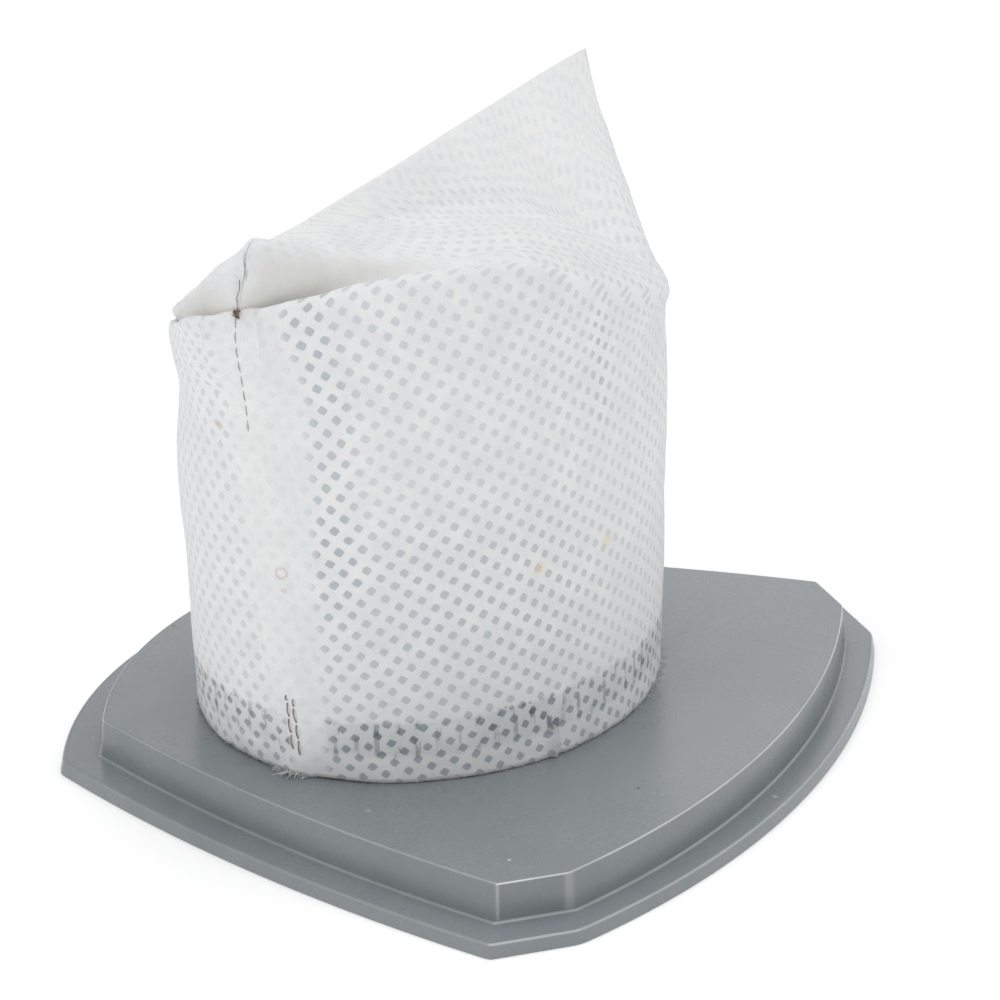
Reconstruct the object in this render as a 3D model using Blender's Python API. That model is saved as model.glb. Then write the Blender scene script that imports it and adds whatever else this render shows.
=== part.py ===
"""Stick vacuum filter: a moulded plate with a short ribbed collar, and a sewn cloth bag glued round the collar.

Frame: +Z up, the foot of the plate's rim on Z = 0, with the origin at the middle of the rim's length and
width. The plate is a mirror image of itself about the XZ plane. Its curved nose with the two cut corners is
at +X, its narrow tail at -X. Shapes are drawn about the collar's axis, and each object is then placed so
that this axis stands at AXIS_X. The bag's side seams are at -Y and +Y, and its top seam runs along Y.
"""
import math

import bmesh
import bpy
from mathutils import Vector

MM = 0.001

# Plateau outline, at its upper edge
NOSE_X = 57.6 * MM          # collar axis to the middle of the nose
NOSE_RADIUS = 144.5 * MM
TAIL_X = 46.8 * MM          # collar axis to the middle of the tail
TAIL_RADIUS = 73.8 * MM
TAIL_CORNER = (-37.3 * MM, 36.4 * MM)
FACET_CORNER = (40.6 * MM, 58.9 * MM)
FACET_ANGLE = math.radians(45.5)     # of the cut corner's normal, from +X
SIDE_RADIUS = 288 * MM

# Heights and widths of the moulded steps
FLANGE_HEIGHT = 2.2 * MM
WALL_HEIGHT = 6.0 * MM
WALL_DRAFT = 0.5 * MM
FACET_DRAFT = 0.1 * MM
FLANGE_DRAFT = 0.3 * MM
NOSE_LEDGE = 5.0 * MM
SIDE_LEDGE = 5.9 * MM
TAIL_LEDGE = 6.4 * MM
FACET_LEDGE = 5.7 * MM
PLATE_WALL = 1.9 * MM
EDGE_RADIUS = 0.35 * MM

# Bag mouth, outside, where it stands on the plateau
MOUTH_X = 34.4 * MM         # half across the plate's length
MOUTH_Y = 40.2 * MM         # half along the side seams
BAG_WALL = 0.6 * MM
FIT_GAP = 0.3 * MM          # between pieces that touch on the real filter

# Bag form above the mouth: half across X and half along Y at each height over the plateau
LOWER_RINGS = (
    (10.5 * MM, 34.5 * MM, 41.8 * MM),
    (27 * MM, 34.6 * MM, 43.6 * MM),
    (44 * MM, 34.6 * MM, 45.2 * MM),
    (58 * MM, 34.4 * MM, 46.8 * MM),
)
SEAM_TWIST = 3.6 * MM       # how far the side seams have turned at the highest of these rings
SEAM_Z = 86.6 * MM          # top seam over the plateau, at its far (+Y) end
FIN_HALF = 0.7 * MM         # half the thickness of the doubled cloth under the top seam

# Key lines of the folded top, from the -Y side seam to the +Y one, as x, y, z in mm when the mouth and the
# seam have the sizes of FORM_DRAWN_AT. SHARES is how far along the panel's width each point is.
FORM_DRAWN_AT = (34.4 * MM, 40.2 * MM, 86.6 * MM)
SHARES = (0, 0.08, 0.2, 0.35, 0.52, 0.75, 1)
FRONT_LIP = (
    (-2, -51, 74.5), (5.5, -45.4, 75.7), (16, -34.6, 77.6), (28.5, -23.5, 77.6),
    (34.5, -4, 69), (27.5, 27, 61), (4.8, 48.8, 65),
)
FRONT_RIDGE = (
    (-1.7, -50.7, 76.6), (1.2, -48.6, 83), (10.5, -30, 79.6), (24.5, -20, 79),
    (29, -1, 73), (24.5, 27.5, 66), (4.8, 51, 70.5),
)
FRONT_VALLEY = (
    (-1.3, -50.4, 78.6), (0.6, -48.8, 83.8), (2.3, -34, 81.4), (3.8, -17, 79.6),
    (6.4, 1, 77.2), (14, 28, 74), (4, 53.4, 77),
)
TOP_SEAM = (
    (-1.2, -50.2, 80.6), (-1, -48.8, 84.6), (-0.8, -35.6, 83), (-0.4, -18.6, 83.4),
    (0, 0.5, 84.2), (0.5, 26.5, 85.6), (1, 54.7, 86.6),
)
BACK_LIP = (
    (-2, -51, 74.5), (-10, -48.5, 73), (-20.5, -39, 73.5), (-29.5, -24, 75.5),
    (-33.6, -4, 70), (-26.5, 26, 62), (4.8, 48.8, 65),
)
BACK_RIDGE = (
    (-1.7, -50.7, 76.6), (-6.5, -49, 79.5), (-15.5, -36, 78.6), (-23.5, -20.5, 78.2),
    (-27.5, -1, 73.6), (-21.5, 27, 67.5), (4.8, 51, 70.5),
)
BACK_VALLEY = (
    (-1.3, -50.4, 78.6), (-3, -48.8, 83), (-4.2, -34, 81.2), (-5.6, -17, 79.6),
    (-7.2, 1, 77.4), (-10, 28, 75), (4, 53.4, 77),
)

# Collar and its glue
GLUE_THICKNESS = 0.5 * MM
COLLAR_HEIGHT = 10.4 * MM
COLLAR_EDGE = 0.7 * MM      # height of the collar's top edge that the glue leaves free
GLUE_LOW = 1.3 * MM
GLUE_HIGH = COLLAR_HEIGHT - COLLAR_EDGE
COLLAR_WALL = 1.6 * MM
RIB_DEPTH = 0.5 * MM
RIB_PITCH = 3.0 * MM
RIB_SHARE = 0.4             # of the pitch that the rib fills
RIB_SLOPE = 0.1             # of the pitch, on each flank

NOSE_STEPS, FACET_STEPS, SIDE_STEPS, TAIL_STEPS = 28, 3, 18, 20
OVAL_STEPS = 96
BAG_HALF_STEPS = 28         # columns in each of the bag's two panels
BAG_RING_STEPS = 4          # rings between two key lines
ARC_SAMPLES = 400           # points that an oval's length is measured on

PLATE_TOP = FLANGE_HEIGHT + WALL_HEIGHT
AXIS_X = (TAIL_X + TAIL_LEDGE - NOSE_X - NOSE_LEDGE) / 2


def clear_scene():
    """Removes the startup scene's objects."""
    for old in list(bpy.data.objects):
        bpy.data.objects.remove(old, do_unlink=True)


def plastic(name, colour, roughness):
    """A plain opaque material."""
    material = bpy.data.materials.new(name)
    material.use_nodes = True
    shader = material.node_tree.nodes["Principled BSDF"]
    shader.inputs["Base Color"].default_value = (*colour, 1)
    shader.inputs["Roughness"].default_value = roughness
    shader.inputs["Metallic"].default_value = 0
    return material


def make_object(name, mesh_data, material):
    """Turns a mesh drawn about the collar's axis into an object of the scene."""
    mesh = bpy.data.meshes.new(name)
    mesh_data.to_mesh(mesh)
    mesh_data.free()
    mesh.materials.append(material)
    obj = bpy.data.objects.new(name, mesh)
    obj.location.x = AXIS_X
    bpy.context.scene.collection.objects.link(obj)
    return obj


def smooth(obj, angle):
    """Shades an object smooth, with an edge wherever its faces turn by more than angle degrees."""
    obj.data.shade_smooth()
    obj.data.set_sharp_from_angle(angle=math.radians(angle))


def ray_to_disc(angle, centre, radius):
    """Distance from the origin, in the direction angle, to the edge of a disc that holds the origin."""
    along = centre[0] * math.cos(angle) + centre[1] * math.sin(angle)
    return along + math.sqrt(along ** 2 - centre[0] ** 2 - centre[1] ** 2 + radius ** 2)


def side_centre():
    """Centre of the arc from the facet corner to the tail corner, which bows outwards (+Y)."""
    start, end = Vector(FACET_CORNER), Vector(TAIL_CORNER)
    chord = end - start
    inward = Vector((-chord.y, chord.x)).normalized()
    reach = math.sqrt(SIDE_RADIUS ** 2 - (chord.length / 2) ** 2)
    return (start + end) / 2 + inward * reach


def edge_distances(grow):
    """Functions of the polar angle, one for each stretch of the outline, from the nose to the tail."""
    nose, facet, side, tail = grow
    middle = side_centre()
    facet_out = Vector((math.cos(FACET_ANGLE), math.sin(FACET_ANGLE))).dot(Vector(FACET_CORNER))
    return (
        lambda a: ray_to_disc(a, (NOSE_X - NOSE_RADIUS, 0), NOSE_RADIUS + nose),
        lambda a: (facet_out + facet) / math.cos(a - FACET_ANGLE),
        lambda a: ray_to_disc(a, middle, SIDE_RADIUS + side),
        lambda a: ray_to_disc(a, (TAIL_RADIUS - TAIL_X, 0), TAIL_RADIUS + tail),
    )


def crossing(first, second, low, high):
    """The angle between low and high where two stretches meet, found by halving."""
    for _ in range(50):
        middle = (low + high) / 2
        if first(middle) < second(middle):
            low = middle
        else:
            high = middle
    return (low + high) / 2


def plate_outline(grow, height):
    """The plate's closed outline, each stretch moved outwards by its own share of grow."""
    stretches = edge_distances(grow)
    nose, facet, side, tail = stretches
    corner = math.atan2(FACET_CORNER[1], FACET_CORNER[0])
    nose_end = crossing(nose, facet, corner / 2, corner)
    facet_end = crossing(facet, side, nose_end, math.pi / 2)
    side_end = crossing(side, tail, math.pi / 2, math.pi)
    plan = (
        (nose, 0, nose_end, NOSE_STEPS // 2),
        (facet, nose_end, facet_end, FACET_STEPS),
        (side, facet_end, side_end, SIDE_STEPS),
        (tail, side_end, math.pi, TAIL_STEPS // 2),
    )
    half = [
        (low + (high - low) * step / steps, distance)
        for distance, low, high, steps in plan
        for step in range(steps)
    ]
    half.append((math.pi, tail))
    upper = [(math.cos(a) * d(a), math.sin(a) * d(a)) for a, d in half]
    lower = [(x, -y) for x, y in reversed(upper[1:-1])]
    return [Vector((x, y, height)) for x, y in upper + lower]


def oval(inset, height, angles):
    """The bag mouth's oval made smaller by inset, with a point in each of the given directions."""
    half_x, half_y = MOUTH_X - inset, MOUTH_Y - inset
    points = []
    for angle in angles:
        c, s = math.cos(angle), math.sin(angle)
        reach = 1 / math.hypot(c / half_x, s / half_y)
        points.append(Vector((c * reach, s * reach, height)))
    return points


def even_angles(count):
    return [2 * math.pi * step / count for step in range(count)]


def bridge(mesh_data, rings, closed):
    """Joins rings of equal length with quads, in order, and the last to the first where closed."""
    rows = [[mesh_data.verts.new(point) for point in ring] for ring in rings]
    pairs = list(zip(rows, rows[1:]))
    if closed:
        pairs.append((rows[-1], rows[0]))
    for low, high in pairs:
        for step, corner in enumerate(low):
            after = (step + 1) % len(low)
            mesh_data.faces.new((corner, low[after], high[after], high[step]))
    return rows


def solid_from_rings(rings):
    mesh_data = bmesh.new()
    bridge(mesh_data, rings, closed=True)
    bmesh.ops.recalc_face_normals(mesh_data, faces=mesh_data.faces)
    return mesh_data


def rounded_step(outer, height, radius):
    """Rings that turn from a wall at outer to a flat at height through a small radius."""
    turned = (0, 45, 90)
    return [
        (outer, height, radius * (1 - math.cos(math.radians(a))), radius * (1 - math.sin(math.radians(a))))
        for a in turned
    ]


def plate_rings():
    """The plate's section, ring by ring, from the rim's foot over the top, down the bore and back underneath."""
    no_growth = (0, 0, 0, 0)
    base = (WALL_DRAFT, FACET_DRAFT, WALL_DRAFT, WALL_DRAFT)
    ledge = (NOSE_LEDGE, FACET_LEDGE, SIDE_LEDGE, TAIL_LEDGE)
    rim = tuple(width + FLANGE_DRAFT for width in ledge)
    inside = tuple(width - PLATE_WALL for width in base)
    rings = [plate_outline(rim, 0)]
    for grow, height in ((ledge, FLANGE_HEIGHT), (no_growth, PLATE_TOP)):
        if grow is no_growth:
            rings.append(plate_outline(base, FLANGE_HEIGHT))
        for outer, top, inset, drop in rounded_step(grow, height, EDGE_RADIUS):
            rings.append(plate_outline(tuple(width - inset for width in outer), top - drop))
    angles = [math.atan2(point.y, point.x) for point in rings[-1]]
    bore = MOUTH_X - collar_inset() - COLLAR_WALL
    rings.append(oval(MOUTH_X - bore, PLATE_TOP, angles))
    rings.append(oval(MOUTH_X - bore, PLATE_TOP - PLATE_WALL, angles))
    rings.append(plate_outline(inside, PLATE_TOP - PLATE_WALL))
    rings.append(plate_outline(inside, 0))
    return rings


def glue_inset():
    """Bag mouth's outside to the outside of the glue."""
    return BAG_WALL + FIT_GAP


def collar_inset():
    """Bag mouth's outside to the collar's outside between its ribs."""
    return glue_inset() + GLUE_THICKNESS + FIT_GAP + RIB_DEPTH


def collar_rings():
    """A short oval tube, ribbed outside, that starts inside the plate's thickness."""
    around = math.pi * (MOUTH_X + MOUTH_Y - 2 * collar_inset())
    count = round(around / RIB_PITCH)
    angles, insets = [], []
    for rib in range(count):
        flanks = ((0, 0), (RIB_SLOPE, RIB_DEPTH), (RIB_SHARE, RIB_DEPTH), (RIB_SHARE + RIB_SLOPE, 0))
        for share, depth in flanks:
            angles.append(2 * math.pi * (rib + share) / count)
            insets.append(collar_inset() - depth)
    foot = PLATE_TOP - PLATE_WALL / 2
    top = PLATE_TOP + COLLAR_HEIGHT
    inner = collar_inset() + COLLAR_WALL

    def ribbed(height):
        return [oval(inset, height, [angle])[0] for angle, inset in zip(angles, insets)]

    return [ribbed(foot), ribbed(top), oval(inner, top, angles), oval(inner, foot, angles)]


def make_plate(material):
    """The moulded plate with its collar joined on."""
    plate = make_object("filter_plate", solid_from_rings(plate_rings()), material)
    collar = make_object("collar_form", solid_from_rings(collar_rings()), material)
    collar.hide_render = True
    collar.display_type = "WIRE"
    union = plate.modifiers.new("collar", "BOOLEAN")
    union.operation = "UNION"
    union.solver = "EXACT"
    union.object = collar
    smooth(plate, 25)
    return plate


def make_glue(material):
    """The glue between the collar's ribs and the cloth, as one plain ring."""
    angles = even_angles(OVAL_STEPS)
    low, high = PLATE_TOP + GLUE_LOW, PLATE_TOP + GLUE_HIGH
    outer, inner = glue_inset(), glue_inset() + GLUE_THICKNESS
    rings = [oval(outer, low, angles), oval(outer, high, angles), oval(inner, high, angles), oval(inner, low, angles)]
    glue = make_object("glue_band", solid_from_rings(rings), material)
    smooth(glue, 40)
    return glue


def curve_point(knots, points, position):
    """Point at a position along a smooth curve through points, which stand at the positions in knots."""
    last = len(points) - 1
    start = max(place for place in range(last) if knots[place] <= position or place == 0)
    spans = [(points[place + 1] - points[place]) / (knots[place + 1] - knots[place]) for place in range(last)]

    def slope(place):
        if place in (0, last):
            return spans[min(place, last - 1)]
        before, after = knots[place] - knots[place - 1], knots[place + 1] - knots[place]
        return (spans[place - 1] * after + spans[place] * before) / (before + after)

    length = knots[start + 1] - knots[start]
    t = (position - knots[start]) / length
    return (points[start] * (2 * t ** 3 - 3 * t ** 2 + 1) + points[start + 1] * (3 * t ** 2 - 2 * t ** 3)
            + slope(start) * length * (t ** 3 - 2 * t ** 2 + t) + slope(start + 1) * length * (t ** 3 - t ** 2))


def side_seam_angles(half_x, turned):
    """Where the two side seams are on an oval ring, once turned by a distance across X."""
    lean = math.asin(turned / half_x)
    return -math.pi / 2 - lean, math.pi / 2 - lean


def lower_line(height, half_x, half_y, turned, back):
    """One panel's share of an oval ring, from the -Y side seam to the +Y one, in equal steps along it."""
    near, far = side_seam_angles(half_x, turned)
    if back:
        far -= 2 * math.pi
    fine = [near + (far - near) * step / ARC_SAMPLES for step in range(ARC_SAMPLES + 1)]
    points = [Vector((half_x * math.cos(a), half_y * math.sin(a), height)) for a in fine]
    lengths = [0]
    for start, end in zip(points, points[1:]):
        lengths.append(lengths[-1] + (end - start).length)
    line, place = [], 0
    for step in range(BAG_HALF_STEPS + 1):
        wanted = lengths[-1] * step / BAG_HALF_STEPS
        while lengths[place + 1] < wanted and place < ARC_SAMPLES - 1:
            place += 1
        share = (wanted - lengths[place]) / (lengths[place + 1] - lengths[place])
        line.append(points[place].lerp(points[place + 1], share))
    return line


def upper_line(key_line):
    """A key line of the folded top at the bag's own size, in equal steps of the panel's width."""
    scale = [size / drawn for size, drawn in zip((MOUTH_X, MOUTH_Y, SEAM_Z), FORM_DRAWN_AT)]
    points = [Vector([value * MM * ratio for value, ratio in zip(point, scale)]) for point in key_line]
    return [curve_point(SHARES, points, step / BAG_HALF_STEPS) for step in range(BAG_HALF_STEPS + 1)]


def panel_lines(back):
    """The key lines of one panel, from the mouth to the top seam."""
    lines = [lower_line(FIT_GAP, MOUTH_X, MOUTH_Y, 0, back)]
    top = LOWER_RINGS[-1][0]
    rise = SEAM_Z / FORM_DRAWN_AT[2]
    for height, half_x, half_y in LOWER_RINGS:
        turned = -SEAM_TWIST * height / top
        wide, long = MOUTH_X / FORM_DRAWN_AT[0], MOUTH_Y / FORM_DRAWN_AT[1]
        lines.append(lower_line(height * rise, half_x * wide, half_y * long, turned, back))
    folded = (BACK_LIP, BACK_RIDGE, BACK_VALLEY) if back else (FRONT_LIP, FRONT_RIDGE, FRONT_VALLEY)
    lines += [upper_line(key_line) for key_line in folded]
    side = Vector((-FIN_HALF if back else FIN_HALF, 0, 0))
    lines.append([point + side for point in upper_line(TOP_SEAM)])
    return lines


def bag_rings():
    """Rings of the bag's outside, from the mouth to the top seam: the front panel, then the back one."""
    panels = [panel_lines(back) for back in (False, True)]
    count = len(panels[0])
    rings = []
    for row in range((count - 1) * BAG_RING_STEPS + 1):
        sides = []
        for lines in panels:
            side = []
            for step in range(BAG_HALF_STEPS + 1):
                column = [line[step] for line in lines]
                knots = [0]
                for start, end in zip(column, column[1:]):
                    knots.append(knots[-1] + (end - start).length)
                low = min(row // BAG_RING_STEPS, count - 2)
                share = row / BAG_RING_STEPS - low
                position = knots[low] + (knots[low + 1] - knots[low]) * share
                side.append(curve_point(knots, column, position))
            sides.append(side)
        front, back = sides
        ends = [(front[place] + back[place]) / 2 for place in (0, -1)]
        rings.append([ends[0]] + front[1:-1] + [ends[1]] + back[-2:0:-1])
    return [[point + Vector((0, 0, PLATE_TOP)) for point in ring] for ring in rings]


def close_top(mesh_data, row):
    """Closes a flattened ring with a strip from its front half to its back half."""
    half = len(row) // 2
    for step in range(half):
        front, after = row[step], row[step + 1]
        behind, behind_after = row[-step], row[-step - 1]
        corners = [front, after, behind_after, behind]
        unique = [corner for place, corner in enumerate(corners) if corner not in corners[:place]]
        if len(unique) > 2:
            mesh_data.faces.new(unique)


def inset_point(rings, row, step):
    """A point of the outer skin moved inwards by the cloth's thickness, square to the skin."""
    ring = rings[row]
    around = ring[(step + 1) % len(ring)] - ring[step - 1]
    up = rings[row + 1][step] - rings[max(row - 1, 0)][step]
    normal = around.cross(up).normalized()
    point = ring[step] - normal * BAG_WALL
    if row == 0:
        point.z = ring[step].z
    return point


def make_bag(material):
    """A sewn bag: an outer skin up to the top seam, and an inner skin that ends under the folded roof."""
    outer = bag_rings()
    inner_count = (len(LOWER_RINGS) + 1) * BAG_RING_STEPS + 1 + BAG_RING_STEPS // 2
    inner = [[inset_point(outer, row, step) for step in range(len(outer[0]))] for row in range(inner_count)]
    mesh_data = bmesh.new()
    outer_rows = bridge(mesh_data, outer, closed=False)
    inner_rows = bridge(mesh_data, inner, closed=False)
    close_top(mesh_data, outer_rows[-1])
    close_top(mesh_data, inner_rows[-1])
    for step in range(len(outer_rows[0])):
        after = (step + 1) % len(outer_rows[0])
        mesh_data.faces.new((outer_rows[0][step], outer_rows[0][after], inner_rows[0][after], inner_rows[0][step]))
    bmesh.ops.recalc_face_normals(mesh_data, faces=mesh_data.faces)
    bag = make_object("filter_bag", mesh_data, material)
    smooth(bag, 50)
    return bag


def build():
    clear_scene()
    make_plate(plastic("grey moulded plastic", (0.24, 0.26, 0.27), 0.38))
    make_glue(plastic("dark glue", (0.05, 0.06, 0.07), 0.5))
    make_bag(plastic("white bonded cloth", (0.80, 0.81, 0.82), 0.85))


build()
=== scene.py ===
"""Looks of the stick vacuum filter: a grey moulded plate and a sewn bag of white point-bonded cloth.

Shapes are worked out in millimetres about the collar's axis, with z = 0 on the plateau that the bag stands
on, and turned into the frame's metres when a mesh is made.
"""
import math
import random

import bpy
import numpy as np
from mathutils import Matrix, Vector, noise


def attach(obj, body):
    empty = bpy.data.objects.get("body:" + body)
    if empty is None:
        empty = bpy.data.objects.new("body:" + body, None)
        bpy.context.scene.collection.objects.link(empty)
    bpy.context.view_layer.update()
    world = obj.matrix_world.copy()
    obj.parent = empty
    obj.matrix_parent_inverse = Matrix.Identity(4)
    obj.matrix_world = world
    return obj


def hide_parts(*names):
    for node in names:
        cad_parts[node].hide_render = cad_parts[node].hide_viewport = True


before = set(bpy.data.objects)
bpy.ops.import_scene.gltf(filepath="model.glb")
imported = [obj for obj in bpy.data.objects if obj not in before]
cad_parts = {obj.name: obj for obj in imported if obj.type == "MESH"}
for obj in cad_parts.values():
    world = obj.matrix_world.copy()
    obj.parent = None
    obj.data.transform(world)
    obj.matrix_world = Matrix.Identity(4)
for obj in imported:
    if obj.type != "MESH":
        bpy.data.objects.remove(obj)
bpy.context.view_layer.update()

MM = 0.001
AXIS_X, PLATE_TOP = -4.7, 8.2

# Plate, as in the CAD
NOSE_X, NOSE_RADIUS = 57.6, 144.5
TAIL_X, TAIL_RADIUS = 46.8, 73.8
TAIL_CORNER, FACET_CORNER = (-37.3, 36.4), (40.6, 58.9)
FACET_ANGLE = math.radians(45.5)
SIDE_RADIUS = 288
FLANGE_HEIGHT = 2.2
BASE = (0.5, 0.1, 0.5, 0.5)
LEDGE = (5.0, 5.7, 5.9, 6.4)
FLANGE_DRAFT = 0.3
PLATE_WALL = 1.9
MOUTH_X, MOUTH_Y = 34.4, 40.2
COLLAR_INSET, COLLAR_HEIGHT, COLLAR_WALL = 2.2, 10.4, 1.6
RIB_DEPTH, RIB_PITCH = 0.5, 3.0
RIM_ROUND, LIP_ROUND, FOOT_ROUND, TOP_ROUND, BORE_ROUND = 0.2, 0.35, 0.4, 0.24, 0.3
# Marks: where, how large and, for the spots, of which colour
EJECTOR_RINGS = (
    ((50, 34.4, 0), 1.7), ((40.7, 10.9, 0), 1.9), ((-41.5, -16.5, 0), 1.9),
    ((-37.2, -31.3, 0), 1.6), ((-41.5, 16.5, 0), 1.9), ((40.7, -28, 0), 1.7),
)
PLATE_SPOTS = (
    ((-37.3, -37.3, 0), 0.55, (0.03, 0.03, 0.03)), ((-45.8, -1.3, 0), 0.35, (0.05, 0.05, 0.05)),
    ((38.9, -51.7, 0), 0.35, (0.7, 0.7, 0.68)),
)

# Cloth
CLOTH = 0.38                # thickness of one layer
DOT_PITCH = 2.39
DOT_TURN = math.radians(35.3)
REFERENCE_ANGLE = -54.4     # polar angle, in degrees, of the thread line that stands upright
SEAM_HALF = 3.0             # half the width of the near side seam's strip
PLEAT_ANGLE, PLEAT_HEIGHT = -31.5, 10.5
COLUMN_STEPS = 112          # columns on each panel
ROW_STEPS = (14, 16, 16, 16, 22, 6, 8, 10, 24, 16)      # rows from each key line to the next
LIP, RIDGE, VALLEY = 5, 8, 9                            # places of these key lines, counted from the hem

# Oval rings of the wall: half x, half y, height, and how far the near and far side seams have turned
WALL = (
    (34.4, 40.2, 0.25, -1.2, 0), (34.5, 41.8, 10.5, -1.2, 1), (34.6, 43.6, 27, -2, 2.5),
    (34.4, 45.2, 44, -3.2, 4), (33.6, 46.8, 58, -3.4, 4),
)
# Key lines of the folded top, from the near side seam to the far one, with a point at each of these shares
SHARES = np.array([0, .04, .08, .14, .20, .27, .35, .43, .52, .62, .75, .88, 1])
FRONT_LIP = (
    (-2, -51, 74.5), (1.5, -48.6, 75), (5.5, -45.4, 75.7), (10.7, -40, 77), (16, -34.6, 77.6),
    (22.8, -30, 78.2), (28.5, -23.5, 77.6), (32.3, -15, 73.5), (34.3, -4, 69), (34.2, 9, 64.5),
    (27.5, 27, 60), (17, 40, 61.5), (4, 49, 65),
)
FRONT_RIDGE = (
    (-1.9, -50.9, 75), (-1.2, -50.2, 79.5), (-.4, -49, 83.9), (4.8, -37.5, 80.6), (9.5, -30, 78.5),
    (17.5, -25.5, 77.7), (24.5, -20, 78.6), (27.5, -11.5, 76.5), (29, -1, 72.5), (28.5, 11.5, 68.5),
    (26, 26.8, 60.9), (16.5, 39, 66.5), (4.4, 51, 70),
)
FRONT_VALLEY = (
    (-1.95, -51, 74.8), (-1.4, -50.2, 79.3), (-.7, -49, 83.8), (1.2, -41.5, 82), (2, -34, 81.3),
    (2.8, -25.5, 80.5), (3.6, -17, 79.5), (4.5, -8, 78.4), (6.2, 1, 77), (11, 12, 74.2),
    (24, 26.2, 61.6), (12.5, 42, 74), (3.4, 53.5, 78),
)
TOP_SEAM = (
    (-2, -51, 74.5), (-1.5, -50.2, 79.2), (-1, -49.1, 84), (-.9, -42.3, 82.4), (-.8, -35.6, 82.6),
    (-.6, -27.7, 83), (-.4, -18.6, 83.3), (-.2, -9.6, 83.7), (0, .5, 84.2), (.2, 11.8, 84.8),
    (.5, 26.5, 85.5), (.8, 41.2, 86.2), (1, 54.9, 86.4),
)
BACK_LIP = (
    (-2, -51, 74.5), (-6, -51.6, 73.6), (-10, -49.8, 72.2), (-15, -44.6, 69.2), (-19.4, -38.4, 66.6),
    (-23.4, -31.4, 64), (-27.2, -23.1, 62), (-29.9, -14.3, 60.5), (-31.6, -4, 59.5), (-31.6, 8, 59.5),
    (-25.5, 26, 59.5), (-9, 43.5, 61.5), (4, 49, 65),
)
BACK_RIDGE = (
    (-1.9, -50.9, 75), (-3.4, -51.3, 78.5), (-6, -50.3, 79.4), (-12, -46.5, 74.6), (-18.1, -41.4, 70),
    (-22.8, -33.6, 66.6), (-26.3, -24.7, 64.6), (-28, -15, 63.4), (-29, -4, 63), (-28.4, 8, 63.5),
    (-21.5, 26, 64.5), (-7, 44, 68.5), (4.4, 51, 70),
)
BACK_VALLEY = (
    (-1.95, -51, 74.8), (-2.1, -50.3, 79.1), (-2.3, -49.3, 82.6), (-4.5, -42.5, 80.6), (-6.5, -35, 79),
    (-7.5, -26.5, 77.5), (-8.2, -18, 76.5), (-8.6, -9, 75.8), (-8.8, 0, 75.5), (-8.8, 12, 75.5),
    (-8, 28, 76), (-3.5, 44, 77), (3.4, 53.5, 79),
)
FIN_BENDS = ((41, 4.5, 0.8), (27, 5.0, -0.5), (12, 5.5, 0.3))       # place along the fin, half width, depth
# Marks on the cloth: where, how large, of which colour and how strong
CLOTH_SPOTS = (
    ((-9.3, -44.7, 54.7), 0.9, (0.50, 0.38, 0.22), 0.45), ((-0.1, -44, 30.9), 0.7, (0.50, 0.36, 0.22), 0.35),
    ((29.8, -22.4, 31.3), 1.5, (0.80, 0.70, 0.42), 0.45), ((33.9, -8.5, 31.2), 1.5, (0.80, 0.70, 0.42), 0.4),
    ((11.1, -43, 77), 0.5, (0.20, 0.19, 0.17), 0.6),
)
STAIN_RING, STAIN_RADIUS = (-0.4, -44.2, 33.6), 0.85

# Threads and fibres
STITCH_ROWS = ((-0.4, 4.6, 13.6), (1.4, 3.8, 13.2))                 # distance from the seam, and the heights
STITCH_LENGTH, STITCH_GAP, STITCH_RADIUS = 2.3, 0.45, 0.09
KNOT, KNOT_TURNS, KNOT_RADIUS = (-2, -51.3, 74.3), 22, 0.085
TAIL = (
    (-1.9, -51.3, 74.3), (-1.7, -51.4, 75.4), (-1.8, -51.3, 76.6), (-1.4, -51.15, 77.9), (-1.5, -50.9, 79.2),
)
FINE_RADIUS = 0.06          # the seam's thread and the knot's tail
HEM_HAIRS, FUZZ_HAIRS = 620, 1500
TUFT_ANGLE, TUFT_WIDTH = -93, 3.5       # the tuft of fibres where the seam meets the hem, in degrees

# Camera and light, in metres
CAMERA_PLACE = (0.23949, -0.46379, 0.24474)
CAMERA_TURNS = (63.43296803782956, 21.63549284869125, 0.6843194270708615)      # heading, pitch, roll
CAMERA_LENS, CAMERA_SENSOR = 133.2, 36
FLOOR_HALF = 6.0
WORLD_LIGHT = 0.53
LIGHTS = (                  # name, place, size, power, colour
    ("key", (-0.9, -1.7, 1.7), 1.5, 9, (1, 0.998, 0.995)),
    ("right", (2.4, -0.3, 0.9), 1.3, 4, (0.99, 0.995, 1)),
    ("back", (-0.86, 1.88, 0.83), 0.8, 1.4, (1, 1, 1)),
    ("top", (0.1, 0.2, 2.5), 2.0, 20.5, (1, 1, 1)),
)


def to_row(points):
    """Millimetres about the collar's axis to metres in the frame."""
    return (np.asarray(points, float) + (AXIS_X, 0, PLATE_TOP)) * MM


def ramp(low, high, value):
    """Smooth step from 0 at low to 1 at high."""
    share = np.clip((np.asarray(value, float) - low) / (high - low), 0, 1)
    return share * share * (3 - 2 * share)


def between(start, rise, fall, end, value):
    """1 from rise to fall, easing to 0 at start and end."""
    return ramp(start, rise, value) * (1 - ramp(fall, end, value))


def grain(points, scale, seed=0):
    """Smooth noise from about -1 to 1 at each point."""
    shift = Vector((seed * 17.3, seed * 5.1, seed * 9.7))
    return np.array([noise.noise(Vector(point) / scale + shift) for point in points])


# Shader arithmetic


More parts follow.
